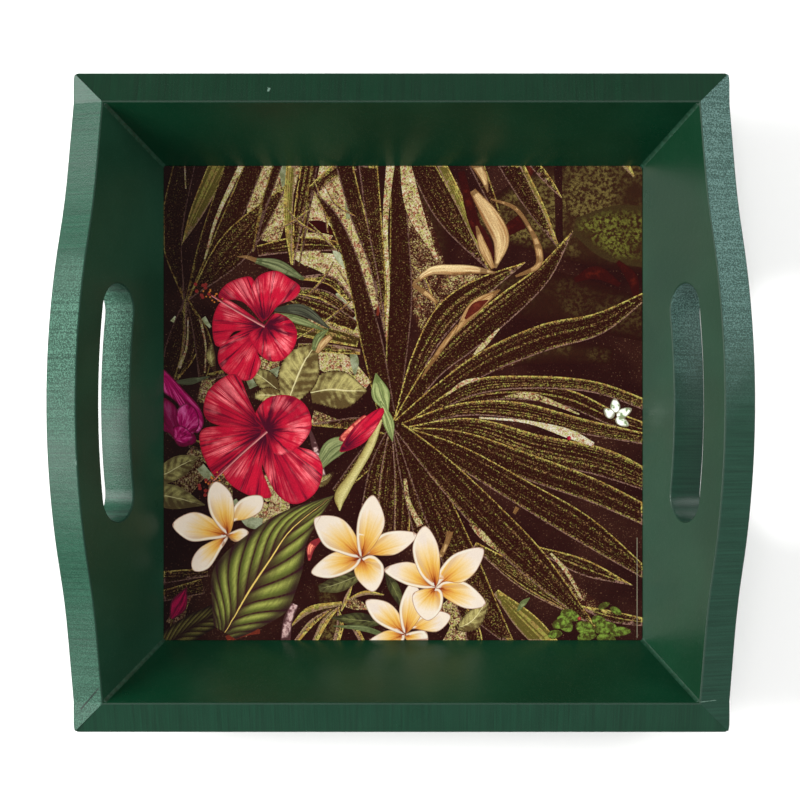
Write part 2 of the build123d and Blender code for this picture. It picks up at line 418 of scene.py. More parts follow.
def lobe(kind, heart, tone, *rim):
    """A petal with a smooth rim through a few places, charted by distance and turn about its heart."""
    heart = np.array(at(heart))
    outline = smooth_path(ats(rim), STEP_ROUND, closed=True)
    away = outline.mean(0) - heart
    heading = math.atan2(away[1], away[0])

    def polar(points):
        offset = points - heart
        turn = np.arctan2(offset[:, 1], offset[:, 0]) - heading
        return np.hypot(offset[:, 0], offset[:, 1]), (turn + np.pi) % (2 * np.pi) - np.pi

    distance, turn = polar(outline)
    length = distance.max()
    spread = abs(turn[distance > 0.4 * length]).max()
    loop = np.concatenate((outline, outline[:1]))

    def chart(points):
        distance, turn = polar(points)
        return distance / length, np.clip(turn / spread, -1.5, 1.5), abs(project(points, loop)[1])

    add_shape(kind, outline, chart, tone)


def dot(kind, place, size, tone):
    """A small round spot, size in mm, charted by its own box."""
    ring = np.linspace(0, 2 * np.pi, DOT_SIDES + 1)[:-1]
    outline = np.array(at(place)) + size / 2 * np.stack((np.cos(ring), np.sin(ring)), 1)
    low, extent = outline.min(0), np.ptp(outline, axis=0)
    loop = np.concatenate((outline, outline[:1]))

    def chart(points):
        share = (points - low) / extent
        return share[:, 0], share[:, 1] * 2 - 1, abs(project(points, loop)[1])

    add_shape(kind, outline, chart, tone)


# ---- The drawing ----
# Places are in percent of the sheet, from its left and from its front edge, and may lie a little off
# it. Widths are in mm. Brightness runs from 0 to about 1 and reaches the inks as their tone.

# What shows between the blades: kind, brightness, then the places of its path, each with its width.
GAPS_BETWEEN = (
    ("pale", 0.8, (17.5, 87, 2), (21, 101, 14)),
    ("pale", 0.7, (22, 84, 8), (23.5, 89, 9), (26, 101, 12)),
    ("pale", 0.9, (28, 80, 8), (33, 88, 14), (35.5, 101, 12)),
    ("pale", 0.75, (36, 101, 10), (40, 88, 12), (45, 70, 8)),
    ("pale", 0.95, (28, 81, 4), (37, 78, 12), (39, 70, 8)),
    ("pale", 0.6, (30, 67, 14), (41, 66, 10)),
    ("pale", 0.85, (32, 60, 9), (37, 57.5, 12), (42.5, 53.5, 6)),
    ("thicket", 0.6, (66, 88, 14), (84, 91, 48), (106, 90.5, 60)),
    ("thicket", 0.25, (60, 72, 14), (78, 73, 24), (106, 66, 18)),
    ("thicket", 1.1, (86, 87.5, 8), (94, 86, 26), (106, 84.5, 28)),
    ("thicket", 0.6, (66, 58, 6), (78, 61, 12), (94, 60, 8)),
    ("thicket", 0.2, (54, 101, 14), (56, 88, 17), (58, 78, 8)),
    ("crimson", 0.05, (86, 76, 2), (90.5, 77.6, 6), (95.5, 75, 2)),
    ("crimson", 0.05, (95, 80, 2), (98, 76.5, 5), (99, 72, 2)),
    ("crimson", 0.2, (75, 97, 5), (77, 101, 6)),
    ("crimson", 0.05, (71, 86, 5), (75, 88.5, 7)),
    ("glint", 0.45, (50.5, 98, 5), (53, 86, 16), (55, 74, 20), (56, 62, 5)),
    ("glint", 0.6, (57, 73, 6), (62, 76, 14), (70, 73, 4)),
    ("glint", 0.75, (60, 56, 6), (70, 60, 13), (80, 63, 6)),
    ("glint", 0.6, (56, 99, 8), (59, 95, 14), (66, 84, 8)),
    ("glint", 0.35, (70, 22, 4), (80, 14, 12), (90, 6, 8)),
    ("ground", 0.1, (82.8, 84, 3.4), (82.5, 101, 3.8)),
    ("pale", 0.35, (3, 32, 12), (10, 40, 14), (12, 30, 10)),
    ("pale", 0.75, (20, 34, 8), (24, 28, 10), (18, 26, 10)),
    ("pale", 0.5, (37, 7.6, 2), (40, 7.4, 5), (42.8, 6.4, 1)),
    ("thicket", 0.5, (34, 12, 12), (35, 5, 14), (34, -2, 14)),
    ("pale", 0.55, (59, 8, 10), (63, 3, 14), (60, -3, 12)),
    ("pale", 0.35, (2, 3, 8), (4, 8, 5), (7, 12, 4)),
    ("pale", 0.5, (8, 50, 6), (9.5, 56, 6)),
    ("pale", 0.4, (31, 47, 7), (37, 45.5, 3)),
    ("pale", 0.6, (19, 58.5, 6), (24, 58, 5)),
    ("crimson", 0, (30, 87.3, 5.4), (33, 87.2, 5.6), (36, 85.6, 1.4)),
    ("crimson", 1, (44.6, 68.5, 1), (45.2, 71, 2.2), (45.6, 74.5, 1)),
    ("mint", 0.6, (24.6, 101, 4), (25, 95.5, 1.6)),
    ("mint", 0.8, (38.2, 97, 0.6), (38.8, 92, 4), (38.4, 89, 1.5)),
    ("mint", 0.5, (39, 61.5, 1), (39.8, 59, 4), (39.9, 56, 1)),
    ("mint", 0.9, (35.2, 83, 0.6), (36.4, 81, 3.4), (37.8, 78.6, 0.8)),
    ("mint", 0.8, (36, 73.2, 0.8), (38, 70.4, 3.2), (40.2, 67.6, 0.8)),
    ("mint", 0.4, (17.4, 54, 5), (24.6, 57, 4)),
    ("mint", 0.7, (8, 68, 3), (9.6, 66, 1)),
    ("mint", 0.9, (1.6, 67.2, 2), (2.2, 68.4, 0.6)),
    ("mint", 0.5, (7.5, 36.5, 4), (9.5, 34, 4)),
    ("mint", 0.5, (14.6, 29.5, 2), (17.6, 25, 5), (20.5, 24.5, 5)),
)

# Palm blades hanging or fanning out behind the flowers: brightness, places with widths.
BACK_BLADES = (
    (0.15, (4, 72, 1), (1.5, 86, 10), (4.6, 103, 10)),
    (1, (3.5, 83.4, 0), (7, 91, 6.5), (12.2, 102, 10)),
    (0.1, (4.6, 72, 1), (9, 84, 8), (14.4, 101, 7)),
    (0.15, (5, 72, 1), (13.5, 88, 8.5), (19.4, 102, 8.5)),
    (0.35, (5, 72, 1), (15, 83.5, 15), (25.6, 96, 1.5)),
    (0.1, (18.6, 82, 1), (20.6, 91, 3.2), (24.2, 102, 4.5)),
    (0.75, (19.5, 82.2, 5), (28, 83.6, 7), (37.5, 83.2, 4)),
    (1, (26.6, 79.4, 1), (25.9, 90, 4), (26.6, 102, 4.4)),
    (0.55, (26.9, 79.2, 1), (28.2, 90, 5), (30.4, 102, 7)),
    (0.1, (28.2, 79, 0.5), (29.9, 90, 2.4), (31.6, 102, 3)),
    (0.7, (31, 95, 5), (35, 98.5, 6), (39.5, 101, 8)),
    (0.75, (39.2, 71.6, 3), (34.6, 76, 4.5), (28.2, 76.5, 1.5)),
    (0.6, (39.6, 68, 5), (34, 72.5, 5), (27, 74, 3)),
    (0.55, (40.2, 66.2, 5), (34, 69.2, 8), (26, 72, 6)),
    (0.85, (40.6, 63, 5), (34, 64.6, 7), (27, 66, 6)),
    (0.8, (41, 60.8, 2.4), (35, 61.5, 4), (28, 62, 3)),
    (0.3, (37.5, 101, 8), (40.4, 90, 7), (43.9, 78.5, 4), (46.5, 63, 0.4)),
    (0.35, (42.6, 101, 9), (44, 88, 7), (45.7, 75, 3.4), (46.5, 63, 0.4)),
    (0.4, (4.6, 72, 1), (5.4, 62, 7), (2.2, 55, 2.5)),
    (0.15, (4.2, 72, 1), (2, 62, 8), (0.4, 54, 6)),
    (0.1, (4.8, 72, 1), (8, 63, 8), (8, 55, 4)),
    (0.3, (53, 102, 11), (59.5, 90, 11.5), (68.2, 78, 1)),
    (1, (57.4, 102, 4.5), (62.5, 91.2, 4), (67, 80, 0.5)),
    (0.2, (65.2, 101, 7), (68.8, 92.5, 4), (71, 86.5, 0.4)),
    (0.3, (71.2, 102, 9), (77.2, 92, 7.5), (82.3, 83.2, 0.5)),
    (0.95, (74.6, 101, 2.4), (79.2, 91.6, 2), (82.5, 83.6, 0.5)),
    (0.45, (77.2, 101, 4.5), (80.5, 97, 3.6), (83.3, 93.4, 0.5)),
    (0.9, (96.4, 101, 4), (98.4, 98, 1)),
    (0.45, (-1, 13, 6), (9, 14.2, 4)),
    (0.35, (-1, 9, 5), (8, 11.2, 7)),
    (0.25, (-1, 47, 4), (3, 43, 5), (9, 40, 4)),
    (0.1, (9, 55.5, 3), (17, 57.4, 4)),
    (0.7, (34.9, 6.4, 0.6), (31, 3.6, 2.8), (27.6, -0.4, 2.2)),
    (0.9, (36.8, 7, 0.6), (33.8, 4, 3), (31.4, -0.6, 2.4)),
    (0.8, (36.4, 6.6, 0.6), (36.8, 3, 3.2), (35.8, -1, 3.2)),
    (0.8, (38.4, 3.8, 0.6), (40.2, 1.8, 2.6), (41.6, -0.8, 2.4)),
    (1, (26.2, 2.4, 0.4), (30.4, 6.2, 3), (37.2, 7.6, 1.8)),
    (0.9, (39.4, 11.6, 0.4), (38.2, 8.8, 2), (37, 6, 0.8)),
    (1, (38, 8.2, 0.6), (42, 9.8, 2), (46, 9.4, 0.6)),
)

# Paths of thin twigs over those blades.
TWIGS = (
    ((22.5, 86.5), (27, 88.5), (31, 91.5)), ((25, 92), (28.5, 88), (33, 85.5)),
    ((30, 88.5), (34, 84.5), (36.5, 82)), ((33.5, 96), (36, 92), (40, 89.5)),
    ((29, 72), (33, 76), (35.5, 80)), ((27.5, 63.5), (33, 66.8), (39, 71.5)),
    ((31, 98), (33.5, 91), (34.2, 86)), ((36, 79), (38.6, 75), (41, 72)),
    ((50.6, 97), (53.4, 88), (56, 82)), ((51, 80), (54.6, 76), (57.6, 68)),
)

# Palm blades from the hub of the big fan, the last drawn on top.
FAN_BLADES = (
    (0.25, (48.5, 45, 7), (44, 40, 10), (36, 31, 5)),
    (0.3, (48, 44, 4), (41, 45.6, 6), (31, 45.4, 1)),
    (0.3, (48.5, 45, 6), (45, 36, 9), (42.3, 22, 9)),
    (0.4, (48.5, 45, 6), (47.3, 34, 9.5), (46, 18, 9)),
    (0.45, (48.8, 45, 6), (50, 34, 8), (49.6, 20, 7)),
    (0.3, (49, 45, 6), (52, 34, 11), (56, 18, 12)),
    (0.3, (49, 45, 5), (55, 33, 13), (61, 19, 16), (66, 8, 15), (73.5, -2, 2)),
    (0.12, (48, 45, 4), (48.4, 57, 9), (49.4, 72, 11), (49.2, 87, 8.5), (48.6, 102, 6)),
    (0.2, (46.5, 48, 8), (43.6, 62, 10), (41.2, 72, 8.5), (38.6, 81.5, 7), (35.2, 89.4, 5),
     (31.2, 95, 0.4)),
    (0.55, (49, 46, 5), (53.4, 59, 8), (59, 68.5, 11.5), (66, 74.2, 9.5), (75.7, 79.8, 0.4)),
    (0.5, (49, 46, 5), (56, 56.5, 8), (63.5, 63.6, 12), (72, 70.8, 12), (79.5, 77.5, 8),
     (85.6, 86.4, 0.4)),
    (0.45, (49, 45.5, 5), (58, 52.5, 8), (68, 59, 11), (80, 64, 12.4), (91, 66.8, 10), (101.5, 73.2, 3)),
    (0.75, (52, 46, 3), (62, 50.6, 6), (72, 52.4, 7), (84, 51.2, 8), (94, 46.8, 7), (103, 43.6, 6)),
    (0.6, (52, 46, 3), (64, 53, 7), (76, 54.4, 6), (90, 53.4, 5.4), (102, 49.2, 5)),
    (0.6, (50, 45, 4), (62, 48.6, 6), (74, 48.4, 8), (88, 45, 7), (103, 42, 5)),
    (0.6, (50, 44, 4), (64, 45, 8), (78, 40.6, 12), (92, 37.4, 13), (103, 32.8, 9)),
    (0.45, (50, 44, 4), (62, 42, 9), (76, 36.6, 12), (90, 31.4, 11), (103, 25.2, 9)),
    (0.4, (50, 44, 5), (62, 38.6, 10), (76, 30.4, 12), (88, 23.2, 12.5), (101, 13.8, 5)),
    (0.75, (77.6, 19.4, 2), (88, 15.2, 7.4), (98.2, 11.4, 0.4)),
    (0.8, (65, 20, 3), (76, 12.4, 9), (87.5, 4.6, 1.4)),
    (0.75, (86.8, 7, 1), (94, 4.8, 5.2), (103, 3.2, 3)),
    (1, (69.5, 10, 3), (76, 3.4, 10), (82.5, -3, 8)),
    (0.4, (49, 45, 5), (58, 36, 12), (68, 25.5, 15.5), (78, 15.4, 13.5), (91.4, 1.2, 0.4)),
    (0.5, (61, 9, 3), (64.5, 2, 7), (65, -3, 8)),
)

# Dry leaf, tendrils, slivers of light, stems and a painted highlight on the film's edge: kind, brightness,
# places with widths.
DRY_PIECES = (
    ("crimson", 0.05, (62.2, 99, 3), (65, 88, 5), (69, 79.5, 2)),
    ("dry", 0.8, (64.6, 95, 3), (68.4, 89.4, 8), (70.6, 84.4, 7.5), (69.4, 78.6, 1)),
    ("dry", 0.6, (65.4, 87.5, 1), (67, 82.6, 4.6), (68.9, 78.5, 2)),
    ("crimson", 0.1, (65.6, 88.4, 1.4), (67.7, 84.5, 2.6), (69, 81, 0.8)),
    ("dry", 0.8, (65, 101, 5), (66.8, 98, 4), (67.8, 94.6, 0.5)),
    ("dry", 0.6, (68.4, 93.2, 0.8), (73.4, 91.3, 1.9), (76.6, 87, 1.8), (78.4, 82.6, 3.4),
     (78.2, 79, 2.8), (73.6, 76.8, 1)),
    ("dry", 1, (52.2, 75.4, 1), (56, 78, 4), (61, 78.2, 5), (65, 78.2, 3.6), (69.3, 77.6, 1)),
    ("dry", 0.6, (52, 75.2, 1.4), (54.8, 73.2, 2.6), (57.2, 71.2, 1.6)),
    ("dry", 0.5, (54, 55.5, 0.8), (58, 61.6, 2.4), (61.6, 66.4, 2)),
    ("dry", 0.5, (60.8, 64.6, 0.8), (65.2, 70.4, 6), (70.4, 74, 0.6)),
    ("crimson", 0.5, (63, 67.8, 1), (65.2, 70.3, 4.2), (67.8, 71.8, 0.6)),
    ("pale", 0.9, (50.4, 101, 5), (52.4, 91, 7.5), (57.2, 80.4, 0.6)),
    ("pale", 0.9, (47.4, 101, 4), (46.3, 88, 2.4), (46.9, 74, 1.4), (46.5, 64, 0.6)),
    ("pale", 1, (8.4, 80.5, 0.8), (11.2, 90, 1.6), (16.4, 101, 2.6)),
    ("pale", 1, (3, 57.4, 1.6), (4.6, 62, 0.9), (4.9, 68, 0.6)),
    ("pale", 0.8, (7.4, 68, 1.2), (8.6, 62, 0.8), (8.4, 56.4, 0.8)),
    ("pale", 1, (4.4, 95.4, 0.7), (4.2, 101, 0.7)),
    ("pale", 0.9, (64.9, 60.3, 0.8), (67, 62.4, 2.4), (70.2, 65.8, 0.8)),
    ("pale", 1, (59, 51.6, 0.6), (62.6, 54.2, 2), (66, 55.2, 1)),
    ("pale", 0.8, (71.4, 51.4, 0.6), (76, 51.6, 3), (81, 50.2, 2.4), (87, 47.6, 0.6)),
    ("pale", 0.7, (50.4, 34, 1.6), (51.2, 29, 2), (53.6, 24, 3)),
    ("pale", 0.7, (64, 24.5, 1), (66.6, 22, 3.2), (70, 18.6, 1)),
    ("pale", 0.8, (81, 18.2, 1), (84.5, 14, 2), (87.6, 8.4, 0.6)),
    ("pale", 1.3, (66, 46.9, 0.8), (76, 46, 1.4), (84.5, 43.6, 4.2), (90, 41.2, 2)),
    ("dry", 0.6, (57.8, 17.5, 2.4), (59.2, 20.4, 2.4), (59.9, 22.8, 3)),
    ("dry", 0.4, (73.3, 26.6, 1.4), (74, 27.9, 2)),
    ("bark", 0.6, (25.2, -2, 4.6), (25.8, 3.6, 4.4), (27.3, 7.4, 3.6)),
    ("bark", 0.9, (30.4, 44.4, 1.2), (31.6, 40.4, 3), (33.4, 34, 3)),
    ("crimson", 1, (13, 0, 3), (17, 1.6, 4), (20, 1.6, 2)),
    ("coral", 0.7, (30.3, 16.6, 1), (30.8, 19.6, 3.6), (33.2, 21.6, 1)),
    ("blade", 0, (2, 0, 2), (1.6, 3, 2), (2.2, 6, 1)),
    ("wine", 0.4, (1.4, 4.4, 2), (3, 7.4, 7.6), (4.6, 11, 0.4)),
    # Painted highlight: the thin light line along the clear film's right edge, drawn into the print.
    ("white", 0.9, (99.1, 0.3, 0.3), (99.1, 21.5, 0.3)),
)
# The ring that a tendril winds into.
TENDRIL_MIDDLE = (28.9, 78.7)
TENDRIL_RADIUS = 1.3

# Leaves: kind, brightness, places with widths.
LEAVES = (
    ("leaf", 0.4, (-3, 33, 6), (3, 36.6, 10), (7.2, 38.6, 0.4)),
    ("leaf", 0.35, (-3, 31, 8), (2, 30, 11), (8.4, 28.4, 0.4)),
    ("slim", 0.2, (2, 54.4, 1), (5.4, 54.6, 3), (9.4, 55.6, 0.5)),
    ("leaf", 0.55, (10.6, 56.6, 1), (9.6, 60, 4.6), (10, 62.8, 0.6)),
    ("slim", 0.4, (29.2, 76.2, 1.4), (24, 79, 5.4), (19, 80.2, 2.4)),
    ("dry", 0.7, (19.2, 80.2, 2.2), (17.2, 80.9, 1.6), (15.2, 81, 0.4)),
    ("slim", 0.1, (23, 69.8, 1.6), (29, 69.6, 5.2), (34.6, 65.8, 0.8)),
    ("slim", 0.6, (23, 69, 0.8), (28, 67.6, 3.6), (34.2, 65.2, 0.4)),
    ("leaf", 0.15, (43, 14.6, 1), (37, 12, 8), (32.4, 10.6, 3)),
    ("leaf", 0.05, (46, 3.4, 1), (41, 4, 7), (35, 4.6, 0.5)),
    ("slim", 0.5, (48, 0, 1), (42, 2.2, 2.6), (35.4, 2.8, 0.5)),
    ("leaf", 0.05, (46.4, 14, 1), (48, 11, 5), (50.4, 6, 2)),
    ("leaf", 0.75, (61, 2.2, 2), (64.6, 4, 9), (68.6, 9.6, 0.5)),
    ("slim", 0.6, (74, 6, 0.8), (75.2, 7.6, 2.6), (76.6, 8.8, 0.3)),
    ("leaf", 0.7, (29.2, 33, 4), (33, 33.4, 5), (35.6, 35.4, 0.8)),
    ("leaf", 0.62, (25.4, 51.4, 3), (21, 55, 9), (17.4, 57.4, 0.4)),
    ("leaf", 0.82, (25.4, 51.4, 3), (21.6, 51.7, 7.4), (17.9, 51.4, 0.6)),
    ("leaf", 0.7, (30.6, 52.2, 10), (34.6, 52.9, 17), (38.4, 52.6, 16), (42.6, 52.6, 0.4)),
    ("leaf", 0.75, (26.2, 51.2, 10), (27.6, 55, 18), (29.4, 59, 16), (31.8, 62.4, 2)),
    ("slim", 0.65, (31.2, 61.2, 2), (32.2, 63.8, 3.4), (34.3, 65.6, 0.6)),
    ("dry", 0.7, (31.9, 60.6, 2), (33.2, 62.6, 3.6), (34.9, 64.2, 2.6)),
    ("slim", 0.9, (46.8, 48.2, 1), (45.3, 51.9, 8.4), (44.3, 56.3, 0.5)),
    ("stalk", 0.6, (45.2, 46.6, 2.6), (43, 40.8, 4), (39.6, 34.8, 4.2), (36.9, 30.4, 5.6),
     (36.7, 27.2, 0.5)),
    ("slim", 0.9, (45.2, 50.4, 1), (46.9, 46, 5), (47.8, 41.9, 0.4)),
    ("slim", 0.6, (40, 42, 4), (35.4, 40.4, 9), (32.6, 36.8, 4)),
)
# Big striped leaves: kind, brightness, places with widths.
CALATHEA = (
    ("calathea", 0.1, (-2, -4, 12), (4, 1.4, 12), (11, 5.4, 10)),
    ("calathea", 0.6, (12.6, 1.4, 12), (14.8, 5.1, 25), (17.9, 10.5, 39), (22.1, 16.8, 33),
     (26.7, 23.4, 19), (35.4, 30.4, 0.5)),
)
# The bud's petals: kind, heart, brightness, places on the rim.
BUD = (
    ("coral", (40, 44), 0.9, (36.5, 42.3), (38.6, 44.9), (42, 47.5), (42.4, 45), (39, 42)),
    ("hibiscus", (36.7, 39.8), 0.45, (36.7, 39.7), (38.4, 43.2), (41, 46.2), (45, 48.9), (46, 47.9),
     (43.4, 43.2), (40.4, 40.7)),
)
# Small leaves at the bottom right and the small flower's petals: start, tip, width.
LIME_LEAVES = (
    ((83, 5.4), (87, 4.2), 5.6), ((82.4, 4.6), (85.2, 1.6), 6.4), ((81.4, 2.6), (84.4, 3.6), 4.4),
    ((80.4, 0.6), (83.4, 1.2), 4), ((86.2, 2.8), (90.2, 1.4), 6), ((86.6, 0), (90.6, 0.8), 4.6),
    ((89.6, 4.4), (92.8, 2.6), 5), ((90.2, 1.8), (94.8, 2.6), 5.6), ((90.6, 0.2), (94.6, -0.2), 4.4),
    ((93.4, 1.2), (97.8, 1.6), 4.4), ((91, 6.4), (93.4, 7.6), 2.8), ((93.4, 6.6), (95.8, 5.2), 3),
)
WHITE_FLOWER = (
    ((94.6, 48), (94.4, 51), 4.6), ((94.8, 47.2), (98, 48.8), 4.4), ((94.6, 46.8), (97.4, 45.2), 4.2),
    ((94.2, 47), (92.2, 48.8), 4.4),
)

# Flowers: the heart, then each petal as its brightness and a few places on its rim, the last on top.
HIBISCUS = (
    ((21, 66.4),
     (0.35, (20.6, 66.8), (13.2, 63.6), (11.2, 60.6), (11.8, 57.4), (15, 55.2), (18.2, 55), (20.2, 58.4),
      (19.4, 61.4)),
     (0.5, (20.6, 67), (16.4, 71.4), (11.4, 72.2), (13, 75.2), (17.6, 76.8), (19, 74.8), (19.6, 70.6)),
     (0.6, (20.6, 67.4), (18.2, 73.2), (19.6, 76.8), (23.4, 78), (26.2, 76.4), (28.4, 74.6), (27.4, 72.2),
      (23.8, 70.6)),
     (0.45, (20.8, 66.2), (13.8, 71.6), (11.4, 71), (10, 67), (10.6, 62.4), (12.6, 62.4), (14.4, 65),
      (17, 65.4)),
     (0.55, (20.8, 66.4), (23, 69), (26.2, 67.8), (27.8, 64.8), (26.8, 61.2), (24, 58.8), (20.4, 59.8),
      (17.6, 64.4))),
    ((21.2, 44.2),
     (0.4, (20.6, 44.6), (20.2, 39), (21.4, 34.6), (24, 30.2), (27.6, 28.6), (31.6, 31), (33.2, 35.8),
      (31.4, 39.6), (26.4, 41.2)),
     (0.45, (20.6, 44.4), (12.8, 37.4), (13.2, 33.4), (17.8, 30.4), (22.2, 30), (21.6, 32.8),
      (20.4, 36.4), (21.6, 40.6)),
     (0.5, (20.4, 44.8), (12.4, 45), (8.4, 47.2), (9, 52.4), (13, 55.8), (15.6, 55.6), (17.4, 51.4),
      (19.2, 47.4)),
     (0.55, (20.6, 44.2), (15.6, 45), (8.2, 44.6), (7.5, 40.6), (9.8, 35.4), (11.4, 34.8), (16.4, 38.4)),
     (0.62, (20.8, 44.4), (18.8, 47), (21.4, 51), (26.4, 51.6), (29.8, 49.2), (30.8, 45), (28.4, 41),
      (24.4, 39), (22.2, 40.2))),
)
# Paths of the long stamens, from the heart out.
STAMENS = (
    ((21, 66.2), (15, 69.6), (9.8, 72.8)),
    ((21.4, 44), (16, 39.2), (10.2, 33.6)),
)
# Pollen round a stamen: big dark grains about its tip, then small light ones back along it.
TIP_GRAINS, STEM_GRAINS = 8, 14
TIP_GRAIN = (1.3, 1.7, 0.1)      # how far from the stamen, size in mm, brightness
STEM_GRAIN = (0.9, 0.8, 0.9)
GRAIN_TURN = 2.4                 # radians from one grain to the next
GRAIN_START = 3                  # how far beyond the tip the first grain sits
GRAIN_STEP = 0.22                # how far back along the stamen each next one sits
# The cut-off flower at the left edge, with a heart for each petal: heart, brightness, places on the rim.
MAGENTA = (
    ((3, 42), 0.2, (-1, 51), (2.2, 49.4), (3.6, 45.6), (6.2, 43.4), (6.4, 41.6), (3.2, 40.8), (1.2, 43.4),
     (-1, 45)),
    ((-1, 58), 0.5, (-1, 57.4), (1.4, 55.6), (4.2, 52.6), (7.2, 49.2), (8.2, 45.8), (6.8, 43.6),
     (5.2, 45.6), (2.6, 50), (-1, 53.2)),
    ((3.6, 43.6), 0.8, (2.8, 48.8), (4.8, 50), (6.8, 48.2), (7.2, 45.2), (5.6, 43.4), (3.4, 44.4),
     (2.4, 46.6)),
    ((2, 42), 0.6, (1.4, 44.6), (3.6, 45.2), (5.8, 43.4), (5.2, 41.6), (2.6, 41.6)),
)
FRANGIPANI_BEHIND = (
    ((13.2, 22),
     (0.2, (13.2, 22), (14.4, 22.9), (16.4, 23.5), (17.6, 22.4), (15, 20.6)),
     (0.4, (13.2, 21.8), (8, 19.8), (5.7, 16.8), (6.2, 14.4), (9.2, 15), (11.6, 18.6)),
     (0.3, (13.2, 22.2), (14.4, 24.8), (17.2, 25.4), (20.2, 27.2), (20.5, 30.2), (17.2, 30.2),
      (14.4, 27.8)),
     (0.6, (13.2, 22), (10.2, 25.4), (5.8, 26.9), (1.6, 24.3), (5, 20.9), (9.2, 21)),
     (0.45, (13.2, 22.2), (14.6, 26), (13.9, 30.8), (10.8, 33.4), (9, 30.6), (9.8, 26))),
)
FRANGIPANI_FRONT = (
    ((41.2, 17.2),
     (0.3, (41.2, 17.2), (42.6, 17.8), (48.6, 18), (53, 22), (49, 23), (44.8, 21.8)),
     (0.5, (41.2, 17), (43.6, 17.8), (45.9, 15.6), (45.6, 12.4), (43.6, 10), (40.6, 12.4), (39.7, 15.2)),
     (0.4, (41.2, 17.2), (39, 18.8), (34.6, 18), (30.7, 14.2), (34.6, 12.9), (39.4, 14.6)),
     (0.6, (41.2, 17.4), (40, 22.2), (36.6, 25.8), (31.4, 25.6), (33, 20.4), (36.2, 18.4)),
     (0.35, (41.2, 17.4), (44.4, 20.4), (46.2, 25.2), (43.8, 30.5), (41, 27.2), (40.2, 22))),
    ((50.4, 1),
     (0.6, (50.4, 1), (46.4, 1.8), (42, -1.4), (48, -3)),
     (0.3, (50.4, 1), (52, -1.4), (55, -1), (54.6, 1.8)),
     (0.4, (50.4, 1.2), (52, 2.2), (57.2, 1.6), (60, 4.8), (57, 6), (53, 4.4)),
     (0.55, (50.4, 1.2), (46.8, 2.2), (43.6, 4.4), (42.2, 8.2), (46.4, 8), (49.2, 5.4)),
     (0.35, (50.4, 1.2), (49.2, 5.6), (50, 9.4), (52, 12), (54.2, 8.6), (53.6, 4.6))),
    ((56.8, 10.9),
     (0.5, (56.8, 10.9), (51, 11.4), (46, 14.6), (50.6, 16.4), (54.6, 14.8)),
     (0.4, (56.8, 10.9), (59.4, 12.4), (63.6, 11.8), (67.4, 7.6), (63.8, 6.4), (59.6, 8.2)),
     (0.3, (56.8, 10.9), (52.2, 9.8), (52.6, 6.2), (55.2, 3.9), (57.8, 6), (58.4, 9.4)),
     (0.6, (56.8, 11.1), (57.6, 14.6), (61, 18.2), (66.8, 19.3), (65.6, 14.8), (62.4, 12), (58.8, 12.2)),
     (0.45, (56.8, 11.1), (57.8, 15.8), (57, 20.8), (54.4, 24), (52, 19.6), (53.4, 14))),
)


def ribbons(rows):
    for row in rows:
        ribbon(*row)


def blades(rows):
    for row in rows:
        ribbon("blade", *row)


def petals(kind, flowers):
    for heart, *rims in flowers:
        for rim in rims:
            lobe(kind, heart, *rim)


def thread(kind, tone, path, widths):
    """A ribbon along a path, with the widths that all such threads share."""
    ribbon(kind, tone, *((*place, width) for place, width in zip(path, widths)))


def spot_beside(place, distance, turn):
    """The place at a distance from another, in percent of the sheet, at a turn from its right."""
    return place[0] + distance * math.cos(turn), place[1] + distance * math.sin(turn)


def draw_leaves():
    ring = [spot_beside(TENDRIL_MIDDLE, TENDRIL_RADIUS, turn) for turn in np.linspace(0, 2 * np.pi, 8)]
    thread("dry", 0.4, ring, [1.2] * len(ring))
    ribbons(LEAVES)
    for petal in BUD:
        lobe(*petal)
    for start, tip, width in LIME_LEAVES:
        strip("lime", 0.5, start, tip, width, 0.06, (0.85, 0.5))
    for petal in WHITE_FLOWER:
        strip("white", 1, *petal)
    dot("hibiscus", (84.8, 42.6), 2, 0.5)
    dot("coral", (87, 4.4), 1.8, 0.5)


def draw_hibiscus():
    petals("hibiscus", HIBISCUS)
    for path in STAMENS:
        thread("stamen", 0.5, path, (1.3, 1.1, 0.7))
        back = np.array(path[1]) - np.array(path[2])
        back /= np.linalg.norm(back)
        for number in range(TIP_GRAINS + STEM_GRAINS):
            spread, size, tone = TIP_GRAIN if number < TIP_GRAINS else STEM_GRAIN
            stem = np.array(path[2]) + back * (number * GRAIN_STEP - GRAIN_START)
            dot("pollen", spot_beside(stem, spread, number * GRAIN_TURN), size, tone)


def draw_picture():
    ribbons(GAPS_BETWEEN)
    blades(BACK_BLADES)
    for path in TWIGS:
        thread("blade", 0.35, path, (0.4, 1.3, 0.7))
    blades(FAN_BLADES)
    ribbons(DRY_PIECES)
    draw_leaves()
    for petal in MAGENTA:
        lobe("magenta", *petal)
    draw_hibiscus()
    petals("frangipani", FRANGIPANI_BEHIND)
    ribbons(CALATHEA)
    petals("frangipani", FRANGIPANI_FRONT)


# ---- Inks: one for each kind of shape ----

STUDIO_GAIN = 1.87               # display light over ink colour, as this studio's lights give it
FILM_VEIL = 0.0041               # light that the film's gloss adds everywhere
DUSK = (-0.112, -0.066)          # where, from left to right, the shade at the picture's left side ends


def printed(red, green, blue):
    """Ink that shows as this display colour, from 0 to 255, under the film in this studio."""
    lit = srgb(red, green, blue)[:3]
    return (*(max(value - FILM_VEIL, 0.0) / STUDIO_GAIN for value in lit), 1.0)


